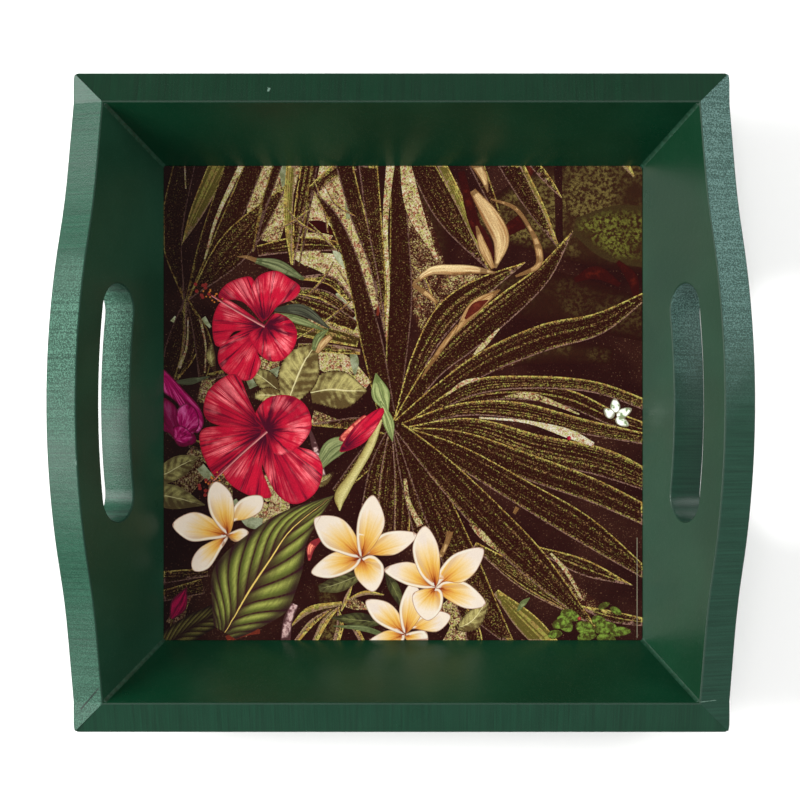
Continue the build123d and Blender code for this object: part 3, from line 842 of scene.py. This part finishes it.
class Ink(Paint):
    """A printed ink under the clear film, with the values of the shape's chart at hand."""

    def __init__(self, name):
        super().__init__(name, 0.16)
        self.set("Specular IOR Level", 0.14)
        self.spot = self.place()
        self.u, self.v, self.tone = self.parts_of(self.attribute("motif"))
        self.side = self.maths("ABSOLUTE", self.v)
        self.rim = self.attribute("rim", "Fac")

    def speck(self, scale=1500.0, detail=1.0):
        return self.noise(self.spot, scale, detail, 0.6)

    def fibre(self, across, along, detail=3.0, rough=0.55):
        """Noise drawn out along the shape, different for each brightness."""
        apart = self.times(self.tone, 37.0)
        vector = self.combine(self.times(self.v, across), self.times(self.u, along), apart)
        return self.noise(vector, 1.0, detail, rough)

    def grain(self, colour, amount=0.1):
        """Fine print grain over a colour, which becomes the ink's colour."""
        speck = self.smooth(self.speck(2600.0), 0.3, 0.7)
        low, high = (1 - amount,) * 3 + (1,), (1 + amount,) * 3 + (1,)
        self.set("Base Color", self.mix(1.0, colour, self.ramp(speck, (0, low), (1, high)), "MULTIPLY"))

    def left_shade_and_light(self, colour, shade=(0.42, 0.38, 0.42, 1)):
        """The colour, which takes a shade towards the picture's left side; a shade above 1 lightens it there
        instead, as painted light.
        """
        day = self.smooth(self.parts_of(self.spot)[0], *DUSK)
        return self.mix(day, self.mix(1.0, colour, shade, "MULTIPLY"), colour)

    def edge(self, colour, line, width, share=1.0):
        """A line of another colour along the shape's rim, width in mm."""
        near = self.smooth(self.rim, width, width * 0.3)
        return self.mix(self.times(near, share), colour, line)


def ground_ink(ink):
    """Dark maroon sheet with clouds and a few specks."""
    cloud = ink.smooth(ink.noise(ink.spot, 30.0, 3.0), 0.42, 0.68)
    dark = ink.mix(cloud, printed(45, 19, 18), printed(60, 31, 25))
    specks = ink.scaled(cloud, 0.05, ink.speck(1300.0, 2.0))
    ink.grain(ink.left_shade_and_light(ink.step(specks, 0.66, 0.76, dark, printed(132, 98, 72))), 0.25)


def blade_ink(ink):
    """Near-black palm blade: rows of brown and yellow-green glitter along it, a dotted yellow line
    along its left edge and a faint pink one along its right."""
    rows = ink.smooth(ink.fibre(4.2, 0.4, 2.0), 0.46, 0.6)
    lit = ink.times(ink.times(rows, ink.tone), ink.smooth(ink.u, -0.1, 0.4))
    near_rim = ink.times(ink.smooth(ink.rim, 2.0, 0.3), ink.tone)
    fine = ink.noise(ink.spot, 1500.0, 3.0, 0.7)
    level = ink.scaled(near_rim, 0.08, ink.scaled(lit, 0.26, fine))
    hue = ink.noise(ink.spot, 420.0, 2.0)
    glitter = ink.step(hue, 0.4, 0.62, printed(172, 136, 84), printed(174, 172, 82))
    dark = ink.mix(ink.noise(ink.spot, 160.0, 2.0), printed(43, 15, 13), printed(54, 24, 18))
    brown = ink.step(hue, 0.42, 0.62, printed(102, 68, 44), printed(98, 82, 42))
    colour = ink.step(level, 0.55, 0.67, dark, brown)
    colour = ink.step(level, 0.65, 0.74, colour, glitter)
    colour = ink.step(ink.tone, 0.75, 1.1, colour, printed(150, 142, 60), 0.45)
    dotted = ink.smooth(ink.speck(1900.0), 0.4, 0.5)
    wobble = ink.scaled(ink.speck(900.0), -1.1, ink.maths("ADD", ink.rim, 0.5))
    line = ink.times(ink.smooth(wobble, 0.7, 0.25), dotted)
    share = ink.scaled(ink.tone, 1.3, 0.35, clamp=True)
    upper = ink.times(ink.times(line, share), ink.smooth(ink.v, 0.0, 0.1))
    lower = ink.times(ink.times(line, share), ink.smooth(ink.v, 0.0, -0.1))
    yellow = ink.step(hue, 0.4, 0.6, printed(186, 148, 72), printed(220, 204, 110))
    colour = ink.mix(upper, colour, yellow)
    ink.grain(ink.left_shade_and_light(ink.mix(ink.times(lower, 0.55), colour, printed(190, 146, 130))))


def litter(ink, density):
    """Speckled forest litter, from maroon through brown to cream as the density rises from 0 to 1."""
    grain = ink.noise(ink.spot, 1400.0, 3.0, 0.75)
    streaks = ink.noise(ink.spot, 200.0, 3.0, 0.6)
    level = ink.scaled(streaks, 0.3, ink.times(grain, 0.7))
    level = ink.scaled(density, 0.16, level)
    hue = ink.noise(ink.spot, 800.0, 2.0)
    tint = ink.ramp(hue, (0.38, printed(176, 108, 76)), (0.48, printed(214, 198, 150)),
                    (0.62, printed(184, 180, 88)))
    colour = ink.step(level, 0.5, 0.57, printed(58, 26, 21), printed(118, 80, 54))
    colour = ink.step(level, 0.55, 0.64, colour, tint)
    return ink.step(level, 0.68, 0.78, colour, printed(240, 232, 212))


def pale_ink(ink):
    """Sunlit litter seen between the blades."""
    ink.grain(ink.left_shade_and_light(litter(ink, ink.tone)), 0.15)


def glint_ink(ink):
    """Litter in deep shade, with soft sides."""
    soft = ink.smooth(ink.rim, 0.0, 3.0)
    ink.grain(ink.left_shade_and_light(litter(ink, ink.maths("SUBTRACT", ink.times(soft, ink.tone), 0.25))), 0.2)


def mint_ink(ink):
    """Pale sage green seen through the gaps."""
    soft = ink.smooth(ink.noise(ink.spot, 260.0, 3.0), 0.35, 0.65)
    low = ink.mix(ink.tone, printed(74, 76, 52), printed(146, 150, 104))
    high = ink.mix(ink.tone, printed(116, 128, 92), printed(200, 204, 168))
    ink.grain(ink.mix(soft, low, high), 0.2)


def thicket_ink(ink):
    """Foliage far behind, olive green on brown, greener with more tone, with soft sides."""
    leaves = ink.noise(ink.spot, 620.0, 4.0, 0.75)
    clumps = ink.smooth(ink.noise(ink.spot, 60.0, 3.0, 0.6), 0.34, 0.6)
    share = ink.times(ink.times(ink.smooth(leaves, 0.44, 0.58), clumps), ink.smooth(ink.tone, 0.0, 0.8))
    dark = ink.step(ink.tone, 0.0, 0.9, printed(50, 24, 19), printed(60, 36, 23))
    light = ink.step(ink.tone, 0.7, 1.2, printed(124, 108, 58), printed(122, 124, 50))
    colour = ink.mix(share, dark, light)
    soft = ink.smooth(ink.rim, 0.0, 7.0)
    behind = ink.step(ink.tone, 0.7, 1.1, printed(48, 21, 18), printed(66, 50, 28))
    ink.grain(ink.mix(soft, behind, colour), 0.25)


def crimson_ink(ink):
    """Red leaves in shade, brighter with more tone, with soft sides."""
    low = ink.mix(ink.tone, printed(52, 16, 16), printed(120, 48, 34))
    high = ink.mix(ink.tone, printed(80, 20, 16), printed(206, 100, 66))
    soft = ink.smooth(ink.rim, 0.0, 2.4)
    colour = ink.step(ink.noise(ink.spot, 320.0, 3.0), 0.44, 0.66, low, high)
    ink.grain(ink.mix(soft, low, colour), 0.2)


def dry_ink(ink):
    """Straw-coloured dead leaf, with fibres along it and a darker right side."""
    fibre = ink.smooth(ink.fibre(2.5, 1.2), 0.3, 0.7)
    low = ink.mix(ink.tone, printed(110, 64, 32), printed(178, 122, 66))
    high = ink.mix(ink.tone, printed(204, 144, 66), printed(252, 226, 168))
    colour = ink.mix(fibre, low, high)
    colour = ink.step(ink.v, -0.2, -0.9, colour, printed(128, 78, 48), 0.5)
    ink.grain(ink.edge(colour, printed(116, 78, 42), 0.6, 0.8), 0.2)


def leaf_ink(ink):
    """Broad leaf: pale midrib, fine side veins that sweep forwards, soft mottling, a toothed edge."""
    sweep = ink.scaled(ink.side, -1.2, ink.times(ink.u, 7.0))
    wave = ink.maths("SINE", ink.times(sweep, math.tau))
    mottle = ink.noise(ink.spot, 160.0, 4.0, 0.6)
    light = ink.scaled(wave, 0.07, mottle)
    shade = ink.scaled(ink.smooth(ink.v, 0.3, -0.4), -0.14, light)
    low = ink.mix(ink.tone, srgb(28, 24, 15), srgb(84, 66, 34))
    high = ink.mix(ink.tone, srgb(66, 70, 34), srgb(176, 164, 102))
    colour = ink.step(shade, 0.28, 0.66, low, high)
    veins = ink.times(ink.smooth(wave, 0.86, 1.0), ink.smooth(ink.side, 0.9, 0.5))
    colour = ink.mix(ink.times(veins, 0.35), colour, low)
    vein = ink.mix(ink.tone, srgb(104, 104, 62), srgb(212, 200, 150))
    colour = ink.step(ink.side, 0.055, 0.02, colour, vein, 0.85)
    teeth = ink.maths("FRACT", ink.times(ink.u, 17.0))
    bite = ink.smooth(ink.scaled(teeth, -0.7, ink.rim), 0.15, -0.15)
    bite = ink.times(bite, ink.smooth(ink.tone, 0.4, 0.55))
    colour = ink.edge(colour, low, 1.6, 0.6)
    ink.grain(ink.mix(bite, colour, printed(56, 30, 24)), 0.14)


def slim_ink(ink):
    """Narrow green leaf with fibres along it and a dull midrib."""
    fibre = ink.fibre(3.0, 1.0)
    low = ink.mix(ink.tone, srgb(30, 24, 26), srgb(84, 96, 50))
    high = ink.mix(ink.tone, srgb(66, 66, 58), srgb(152, 160, 102))
    colour = ink.step(fibre, 0.35, 0.65, low, high)
    midrib = ink.mix(0.5, low, srgb(60, 66, 44))
    colour = ink.step(ink.side, 0.12, 0.03, colour, midrib, 0.8)
    ink.grain(ink.edge(colour, low, 0.7, 0.8), 0.14)


def lime_ink(ink):
    """Small shade-loving leaves, flat and mottled."""
    soft = ink.smooth(ink.noise(ink.spot, 420.0, 3.0, 0.65), 0.4, 0.62)
    colour = ink.mix(soft, printed(76, 74, 32), printed(130, 160, 62))
    ink.grain(ink.edge(colour, printed(70, 60, 28), 0.4, 0.6), 0.25)


def stalk_ink(ink):
    round_shade = ink.scaled(ink.v, 0.5, 0.5)
    colour = ink.ramp(round_shade, (0.0, printed(136, 112, 60)), (0.3, printed(204, 190, 116)),
                      (0.7, printed(226, 214, 146)), (1.0, printed(160, 146, 82)))
    mottle = ink.smooth(ink.noise(ink.spot, 240.0, 3.0), 0.55, 0.75)
    ink.grain(ink.mix(ink.times(mottle, 0.4), colour, printed(140, 108, 62)), 0.2)


def bark_ink(ink):
    colour = ink.step(ink.speck(520.0, 3.0), 0.38, 0.62, srgb(92, 58, 60), srgb(176, 146, 140))
    ink.grain(ink.edge(colour, srgb(60, 34, 34), 0.8), 0.2)


def calathea_ink(ink):
    """Green bands between thin dark veins that sweep to the tip, dark margins, a yellow midrib."""
    left = ink.smooth(ink.v, -0.01, 0.01)
    bow = ink.maths("POWER", ink.side, 0.8)
    reach = ink.scaled(left, 1.5, 2.3)
    sweep = ink.maths("SUBTRACT", ink.times(ink.u, 8.0), ink.times(bow, reach))
    phase = ink.maths("FRACT", ink.scaled(left, 0.4, sweep))
    band = ink.ramp(phase, (0.0, printed(62, 20, 32)), (0.05, printed(66, 28, 34)),
                    (0.1, printed(96, 92, 46)), (0.3, printed(112, 122, 52)),
                    (0.66, printed(186, 192, 94)), (0.88, printed(118, 118, 56)),
                    (0.96, printed(78, 46, 42)), (1.0, printed(62, 20, 32)))
    cross = ink.fibre(22.0, 10.0, 2.0)
    band = ink.step(cross, 0.42, 0.7, band, printed(92, 88, 48), 0.4)
    margin = ink.smooth(ink.side, 0.6, 0.96)
    band = ink.mix(ink.times(margin, 0.9), band, printed(56, 28, 34))
    heart = ink.smooth(ink.side, 0.4, 0.04)
    band = ink.mix(ink.times(heart, 0.88), band, printed(66, 32, 36))
    ends = ink.maths("ADD", ink.smooth(ink.u, 0.24, 0.04), ink.smooth(ink.u, 0.84, 1.0))
    band = ink.mix(ink.times(ends, 0.7), band, printed(56, 34, 34))
    shaded = ink.mix(1.0, band, (0.32, 0.24, 0.3, 1), "MULTIPLY")
    band = ink.step(ink.tone, 0.4, 0.15, band, shaded)
    midrib = ink.times(ink.smooth(ink.side, 0.026, 0.012), ink.smooth(ink.tone, 0.2, 0.4))
    ink.grain(ink.mix(midrib, band, srgb(196, 168, 88)), 0.16)


def hibiscus_ink(ink):
    """Red petal with a dark throat, dark fanned veins and soft pink lights."""
    veins = ink.fibre(9.0, 0.6, 2.0)
    fine = ink.fibre(24.0, 1.4, 2.0)
    lights = ink.fibre(2.4, 2.2, 3.0)
    red = ink.step(veins, 0.34, 0.5, srgb(78, 4, 26), srgb(170, 15, 42))
    red = ink.step(fine, 0.48, 0.34, red, srgb(110, 8, 32), 0.4)
    middle = ink.times(ink.smooth(ink.u, 0.3, 0.66), ink.smooth(ink.u, 1.05, 0.75))
    glow = ink.times(ink.smooth(lights, 0.42, 0.7), ink.smooth(fine, 0.36, 0.6))
    red = ink.mix(ink.times(glow, middle), red, srgb(230, 116, 122))
    throat = ink.scaled(veins, 0.6, ink.u)
    red = ink.step(throat, 0.82, 0.46, red, srgb(58, 5, 24))
    shade = ink.times(ink.smooth(ink.fibre(1.4, 1.2, 1.0), 0.52, 0.34), 0.45)
    red = ink.mix(shade, red, srgb(112, 8, 32))
    ink.grain(ink.edge(red, srgb(120, 8, 30), 0.9, 0.6), 0.16)


def stamen_ink(ink):
    ink.grain(ink.step(ink.v, -0.4, 0.5, printed(150, 44, 66), printed(236, 150, 146)))


def pollen_ink(ink):
    ink.grain(ink.mix(ink.tone, printed(128, 18, 42), printed(220, 132, 54)), 0.2)


def frangipani_ink(ink):
    """Cream petal, yellow to red at the throat, with a mauve shade, one pale rolled side and a thin
    brown line round it."""
    streaks = ink.fibre(6.0, 0.6)
    depth = ink.scaled(streaks, 0.5, ink.maths("SUBTRACT", ink.u, 0.31))
    depth = ink.scaled(ink.side, 0.14, depth)
    colour = ink.ramp(depth, (0.07, printed(140, 44, 26)), (0.18, printed(220, 136, 56)),
                      (0.36, printed(246, 194, 92)), (0.54, printed(251, 218, 156)),
                      (0.74, printed(253, 237, 216)))
    mauve = ink.times(ink.smooth(ink.noise(ink.spot, 90.0, 2.0), 0.5, 0.68), 0.3)
    colour = ink.mix(ink.times(mauve, ink.smooth(ink.u, 0.4, 0.8)), colour, printed(232, 214, 208))
    fold = ink.times(ink.smooth(ink.v, 0.3, 0.62), ink.smooth(ink.v, 0.76, 0.66))
    colour = ink.mix(ink.times(fold, 0.5), colour, printed(212, 164, 120))
    rolled = ink.times(ink.smooth(ink.rim, 1.5, 1.0), ink.smooth(ink.v, 0.1, 0.4))
    colour = ink.mix(ink.times(rolled, 0.8), colour, printed(255, 247, 226))
    # Painted light: the petals are lightened towards the picture's left side, where the left wall's shadow
    # dims them.
    colour = ink.left_shade_and_light(ink.edge(colour, printed(160, 100, 72), 0.45, 0.75), (1.3, 1.28, 1.26, 1))
    ink.grain(colour, 0.04)


def magenta_ink(ink):
    """Purple-pink petal, darker with less tone."""
    veins = ink.fibre(5.0, 2.0)
    colour = ink.ramp(veins, (0.36, printed(116, 8, 56)), (0.52, printed(178, 18, 98)),
                      (0.7, printed(230, 100, 166)))
    colour = ink.step(ink.tone, 0.5, 0.0, colour, printed(84, 12, 38))
    ink.grain(ink.edge(colour, printed(92, 10, 42), 0.9, 0.8), 0.15)


def wine_ink(ink):
    colour = ink.step(ink.fibre(3.0, 1.0), 0.38, 0.62, printed(84, 10, 40), printed(160, 20, 66))
    ink.grain(ink.edge(colour, srgb(54, 8, 24), 1.0), 0.2)


def coral_ink(ink):
    colour = ink.step(ink.fibre(3.0, 1.0), 0.35, 0.65, srgb(140, 40, 40), srgb(226, 128, 104))
    ink.grain(ink.edge(colour, srgb(110, 30, 34), 0.7), 0.15)


def white_ink(ink):
    soft = ink.noise(ink.spot, 380.0, 2.0)
    colour = ink.ramp(soft, (0.38, srgb(110, 128, 88)), (0.47, srgb(208, 214, 196)),
                      (0.65, srgb(236, 238, 230)))
    ink.grain(ink.edge(colour, srgb(120, 116, 96), 0.6))


INKS = {
    "ground": ground_ink, "blade": blade_ink, "pale": pale_ink, "glint": glint_ink, "mint": mint_ink,
    "thicket": thicket_ink, "crimson": crimson_ink, "dry": dry_ink, "leaf": leaf_ink, "slim": slim_ink,
    "lime": lime_ink, "stalk": stalk_ink, "bark": bark_ink, "calathea": calathea_ink,
    "hibiscus": hibiscus_ink, "stamen": stamen_ink, "pollen": pollen_ink, "frangipani": frangipani_ink,
    "magenta": magenta_ink, "wine": wine_ink, "coral": coral_ink, "white": white_ink,
}


# ---- Cutting the sheet along the drawing ----

def sheet_outline():
    """The sheet's rounded outline, in mm."""
    ring = []
    turns = np.linspace(0, np.pi / 2, 6)
    for quarter, (side_x, side_y) in enumerate(((1, 1), (-1, 1), (-1, -1), (1, -1))):
        radius = CORNERS[quarter]
        angles = turns + quarter * np.pi / 2
        middle = (side_x * (PICTURE_X - radius), side_y * (PICTURE_Y - radius))
        ring += [(middle[0] + radius * np.cos(a), middle[1] + radius * np.sin(a)) for a in angles]
    return np.array(ring)


def cut_picture():
    """Cut the sheet along every outline at once. Each triangle belongs to the last shape drawn on it."""
    outlines = [sheet_outline()] + [shape[1] for shape in SHAPES]
    grid_x = np.arange(-PICTURE_X + FILL_STEP / 2, PICTURE_X, FILL_STEP)
    grid_y = np.arange(-PICTURE_Y + FILL_STEP / 2, PICTURE_Y, FILL_STEP)
    loose = np.stack(np.meshgrid(grid_x, grid_y), -1).reshape(-1, 2)
    loose[:, 0] += (np.arange(len(loose)) * STAGGER) % 1 - 0.5
    points = np.concatenate(outlines + [loose])
    faces, first = [], 0
    for outline in outlines:
        faces.append(list(range(first, first + len(outline))))
        first += len(outline)
    cut = delaunay_2d_cdt([Vector(point) for point in points], [], faces, 0, CUT_TOLERANCE)
    corners = np.array([tuple(point) for point in cut[0]])
    triangles, owners = [], []
    for face, covers in zip(cut[2], cut[5]):
        if 0 in covers:
            triangles.append(face)
            owners.append(max(covers) - 1)
    return corners, np.array(triangles), np.array(owners)


def build_picture():
    draw_picture()
    corners, triangles, owners = cut_picture()
    mesh = bpy.data.meshes.new("picture")
    places = np.column_stack((corners * MM, np.full(len(corners), PICTURE_Z)))
    mesh.from_pydata(places.tolist(), [], triangles.tolist())
    kinds = sorted({shape[0] for shape in SHAPES} | {"ground"})
    for kind in kinds:
        ink = Ink(kind + "_ink")
        INKS[kind](ink)
        mesh.materials.append(ink.material)
    slots = np.full(len(triangles), kinds.index("ground"))
    motif = np.zeros((len(triangles), 3, 3))
    rim = np.full((len(triangles), 3), UNCUT_RIM)
    for number, (kind, _, chart, tone) in enumerate(SHAPES):
        mine = np.flatnonzero(owners == number)
        if len(mine) == 0:
            continue
        slots[mine] = kinds.index(kind)
        u, v, edge = chart(corners[triangles[mine]].reshape(-1, 2))
        motif[mine] = np.stack((u, v, np.full(len(u), tone)), -1).reshape(-1, 3, 3)
        rim[mine] = edge.reshape(-1, 3)
    mesh.polygons.foreach_set("material_index", slots)
    attribute = mesh.attributes.new("motif", "FLOAT_VECTOR", "CORNER")
    attribute.data.foreach_set("vector", motif.astype(np.float32).ravel())
    attribute = mesh.attributes.new("rim", "FLOAT", "CORNER")
    attribute.data.foreach_set("value", rim.astype(np.float32).ravel())
    mesh.update()
    picture = bpy.data.objects.new("picture", mesh)
    bpy.context.scene.collection.objects.link(picture)
    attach(picture, "root")
    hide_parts("printed_sheet", "clear_film")
    print("picture", len(corners), "points", len(triangles), "triangles")


# ---- Stage ----

# Lights: name, place, width and depth, power. All are aimed at the middle of the tray.
LIGHTS = (
    ("key_light", (-1.7, 0.12, 1.15), (1.2, 1.2), 77),
    ("fill_light", (1.5, 0.9, 1.15), (0.9, 0.9), 13),
    ("front_light", (0.5, -1.1, 2.1), (1.6, 1.0), 19),
    ("back_light", (0.3, 1.1, 2.1), (1.6, 1.0), 17),
)
LIGHT_TARGET = (0, 0, 0.03)
SKY_STRENGTH = 0.36
FLOOR_SIZE = 8
CAMERA_HEIGHT = 1.067                     # above the picture
CAMERA_SIDE = Vector((0.020, -0.005))     # how far the camera stands off the tray's middle
CAMERA_LENS = 103.7
LENS_SHIFT = (-0.0578, 0.0173)            # brings the tray to the middle of the view


def area_light(name, place, size, power):
    lamp = bpy.data.lights.new(name, "AREA")
    lamp.shape = "RECTANGLE"
    lamp.size, lamp.size_y = size
    lamp.energy = power
    holder = bpy.data.objects.new(name, lamp)
    holder.location = place
    holder.rotation_euler = (Vector(LIGHT_TARGET) - Vector(place)).to_track_quat("-Z", "Y").to_euler()
    bpy.context.scene.collection.objects.link(holder)


def build_stage():
    scene = bpy.context.scene
    scene.view_settings.view_transform = "Standard"
    camera = bpy.data.cameras.new("camera")
    camera.lens = CAMERA_LENS
    camera.sensor_width = 36.0
    holder = bpy.data.objects.new("camera", camera)
    holder.location = (*CAMERA_SIDE, PICTURE_Z + CAMERA_HEIGHT)
    camera.shift_x, camera.shift_y = LENS_SHIFT
    scene.collection.objects.link(holder)
    scene.camera = holder

    world = bpy.data.worlds.new("studio")
    world.use_nodes = True
    sky = world.node_tree.nodes["Background"]
    sky.inputs["Color"].default_value = (1, 1, 1, 1)
    sky.inputs["Strength"].default_value = SKY_STRENGTH
    scene.world = world
    for light in LIGHTS:
        area_light(*light)

    bpy.ops.mesh.primitive_plane_add(size=FLOOR_SIZE, location=(0, 0, 0))
    floor = bpy.context.object
    floor.name = "floor"
    paint = Paint("floor_paper", 0.9)
    cloud = paint.noise(paint.place(), 3.0)
    paint.set("Base Color", paint.ramp(cloud, (0, srgb(244, 244, 243)), (1, srgb(250, 250, 249))))
    floor.data.materials.append(paint.material)


dress_frame()
build_picture()
build_stage()
